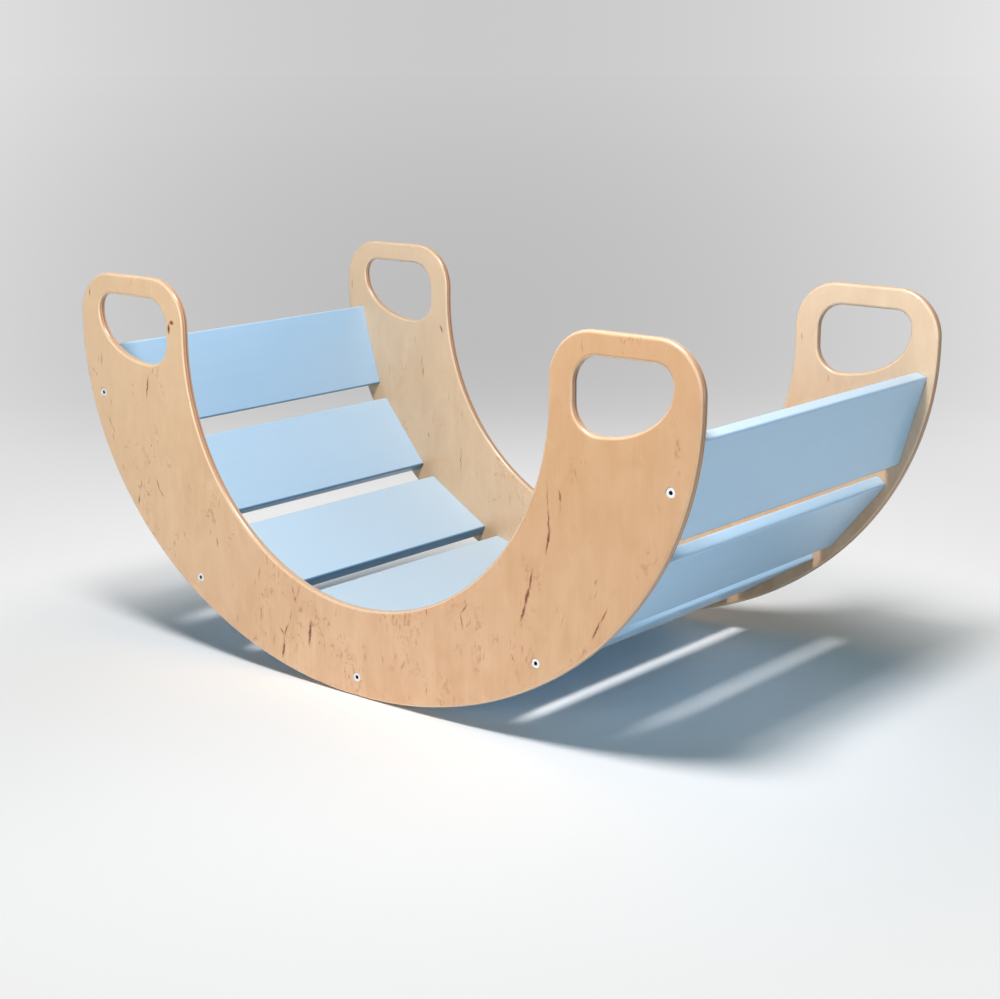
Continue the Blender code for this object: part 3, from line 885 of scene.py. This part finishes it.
def zinc_steel():
    """Bright zinc-plated steel, turned marks round the head, and painted shade that darkens the
    socket.
    """
    made, g, shader = new_material("zinc_steel")
    x, y, z = g.split(g.node("TexCoord").outputs["Object"])
    radius = g.math("SQRT", g.math("ADD", g.math("POWER", x, 2.0), g.math("POWER", z, 2.0)))
    turned = g.noise(g.vector(radius, 0.0, 0.0), TURNING_SCALE)
    patches = g.noise(g.vector(x, y, z), ZINC_PATCH_SCALE)
    colour = g.mix(g.spread(patches, 0.0, ZINC_DULL_SHARE), ZINC, ZINC_DULL)
    # painted shade: the socket darkens towards its middle and with depth
    inner, outer = SOCKET_ACROSS_FLATS * SOCKET_SHADE_FULL, SOCKET_ACROSS_FLATS * SOCKET_SHADE_FROM
    deep = g.remap(y, SOCKET_CHAMFER / 2, SOCKET_DEPTH / 2)
    dark = g.math("MULTIPLY", g.remap(radius, outer, inner), deep)
    g.feed(shader.inputs["Base Color"], g.mix(dark, colour, SOCKET_PAINTED_SHADE))
    shader.inputs["Metallic"].default_value = 1.0
    g.feed(shader.inputs["Roughness"], g.spread(turned, *STEEL_ROUGHNESS))
    add_relief(g, shader, turned, STEEL_RELIEF, STEEL_RELIEF_DEPTH)
    return made


def seen_directly(g):
    """1 for rays from the camera and for those that reflections and glass send out."""
    path = g.node("LightPath").outputs
    seen = g.math("MAXIMUM", path["Is Camera Ray"], path["Is Glossy Ray"])
    return g.math("MAXIMUM", seen, path["Is Transmission Ray"])


def side_lift(g, direction):
    """How much lighter the backdrop is in a direction than along its middle line."""
    flat = g.node("VectorMath", {0: direction, 1: (1, 1, 0)}, operation="MULTIPLY").outputs[0]
    unit = g.node("VectorMath", {0: flat}, operation="NORMALIZE").outputs[0]
    dot = g.node("VectorMath", {0: unit, 1: PAN_AXIS.normalized()}, operation="DOT_PRODUCT")
    cosine = dot.outputs["Value"]
    lift = g.math("MULTIPLY_ADD", cosine, -SIDE_LIFT, SIDE_LIFT)
    ahead = g.remap(cosine, *LIFT_COSINES, smooth=True)
    return g.math("MULTIPLY", g.math("MINIMUM", lift, SIDE_LIFT_MOST), ahead)


def floor_material():
    """Pale studio floor that turns into the grey backdrop further out. The backdrop is a painted
    pool of light, bright round the seesaw and darker further out, and where it blends in it paints
    light over the outer part of the cast shadow.
    """
    made, g, shader = new_material("studio_floor")
    shader.inputs["Base Color"].default_value = FLOOR_WHITE
    shader.inputs["Roughness"].default_value = FLOOR_ROUGHNESS
    shader.inputs["Specular IOR Level"].default_value = 0.0
    place = g.node("TexCoord").outputs["Object"]
    far = g.node("VectorMath", {0: place, 1: LIT_CENTRE}, operation="DISTANCE").outputs["Value"]
    reach = BACKDROP_STOPS[-1][0]
    stops = [(distance / reach, grey(level)) for distance, level in BACKDROP_STOPS]
    middle = g.ramp(g.math("DIVIDE", far, reach, clamp=True), stops)
    away = g.node("VectorMath", {0: place, 1: PAN_CENTRE}, operation="SUBTRACT").outputs[0]
    from_pan = g.node("VectorMath", {0: away}, operation="LENGTH").outputs["Value"]
    reached = g.remap(from_pan, *LIFT_DISTANCES, smooth=True)
    sides = g.math("MULTIPLY", side_lift(g, away), reached)
    backdrop = g.node("Emission", {"Color": g.mix(1.0, middle, sides, "ADD")})
    share = g.remap(far, LIT_REACH, BACKDROP_REACH, smooth=True)
    share = g.math("MULTIPLY", share, seen_directly(g))
    mixed = g.node("MixShader", {0: share, 1: shader.outputs[0], 2: backdrop.outputs[0]})
    g.tree.links.new(mixed.outputs[0], g.tree.nodes["Material Output"].inputs[0])
    return made


# Studio and camera

def add_floor():
    bm = bmesh.new()
    bmesh.ops.create_circle(bm, cap_ends=True, segments=FLOOR_SIDES, radius=FLOOR_RADIUS)
    mesh = bpy.data.meshes.new("floor")
    bm.to_mesh(mesh)
    bm.free()
    mesh.materials.append(floor_material())
    floor = bpy.data.objects.new("floor", mesh)
    floor.location.z = -FLOOR_SINK
    bpy.context.scene.collection.objects.link(floor)


def add_world():
    """Even light from all round; the camera and reflections see the backdrop's grey instead."""
    world = bpy.data.worlds.new("studio")
    bpy.context.scene.world = world
    world.use_nodes = True
    world.node_tree.nodes.clear()
    g = Graph(world.node_tree)
    light = g.node("Background", {"Color": WORLD_TINT, "Strength": WORLD_LEVEL})
    lift = side_lift(g, g.node("TexCoord").outputs["Generated"])
    level = g.mix(1.0, grey(SKY_LEVEL), lift, "ADD")
    backdrop = g.node("Background", {"Color": level, "Strength": 1.0})
    mixed = g.node("MixShader", {0: seen_directly(g), 1: light.outputs[0], 2: backdrop.outputs[0]})
    g.node("OutputWorld", {0: mixed.outputs[0]})


def add_lamps():
    """Round soft boxes turned to the seesaw, which the camera doesn't see.

    The one behind the seesaw isn't mirrored either, because it would speckle the rims.
    """
    for name, place, width, level, tint in LAMPS:
        away = place - AIM
        lamp = bpy.data.lights.new(name, "AREA")
        lamp.shape = "DISK"
        lamp.size = width
        lamp.energy = level * (pi * away.length) ** 2    # a white face turned to it gets the level
        lamp.color = tint
        box = bpy.data.objects.new(name, lamp)
        box.location = place
        box.rotation_euler = away.to_track_quat("Z", "Y").to_euler()
        box.visible_camera = False
        box.visible_glossy = place.y < 0
        bpy.context.scene.collection.objects.link(box)


def add_camera():
    data = bpy.data.cameras.new("camera")
    data.lens = CAMERA_LENS
    data.clip_end = 4 * FLOOR_RADIUS
    camera = bpy.data.objects.new("camera", data)
    turn = Matrix.Rotation(CAMERA_AZIMUTH, 4, "Z")
    tilt = Matrix.Rotation(pi / 2 - CAMERA_ELEVATION, 4, "X")
    roll = Matrix.Rotation(CAMERA_ROLL, 4, "Z")
    camera.matrix_world = Matrix.Translation(CAMERA_PLACE) @ turn @ tilt @ roll
    bpy.context.scene.collection.objects.link(camera)
    bpy.context.scene.camera = camera


# The whole scene

def add_panels(slat_places):
    looks = {
        "front": (FRONT_MARKS, FRONT_TURNS, FRONT_FIGURE),
        "back": (BACK_MARKS, BACK_TURNS_PAINTED_LIGHT, BACK_FIGURE),
    }
    for word, side in SIDES:
        marks, turns, figure = looks[word]
        turn = turn_to_side(side)
        turned_back = turn.inverted()
        matrix = Matrix.Translation((0, side * WIDTH / 2, 0)) @ turn
        local = [(turned_back @ place, *sizes) for place, *sizes in slat_places]
        spots = [(x * -side, z) for x, z in screw_spots(word)]
        mesh = panel_mesh(f"panel_{word}", local, spots, matrix)
        finish = birch_plywood(f"birch_{word}", side * PANEL_MIDDLE, marks, turns, figure)
        add_piece(f"panel_{word}", mesh, finish, f"side_panel_{word}")


def add_slats(slat_places):
    paint = blue_paint()
    for name, (place, slat_width, thickness) in zip(SLAT_NAMES, slat_places):
        low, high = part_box(name)
        mesh = slat_mesh(f"painted_{name}", place, slat_width, thickness, high.y - low.y)
        add_piece(f"painted_{name}", mesh, paint, name)


def add_screws():
    steel = zinc_steel()
    mesh = screw_mesh()
    for word, side in SIDES:
        turn = turn_to_side(side)
        for i, (x, z) in enumerate(screw_spots(word)):
            place = Matrix.Translation((x, side * (WIDTH / 2 - HEAD_SINK), z)) @ turn
            name = f"screw_{word}_{i + 1}"
            add_piece(f"zinc_{name}", mesh, steel, name, place)


def main():
    slat_places = [slat_place(name) for name in SLAT_NAMES]
    add_panels(slat_places)
    add_slats(slat_places)
    add_screws()
    add_floor()
    add_world()
    add_lamps()
    add_camera()
    bpy.context.scene.view_settings.view_transform = "Standard"


main()
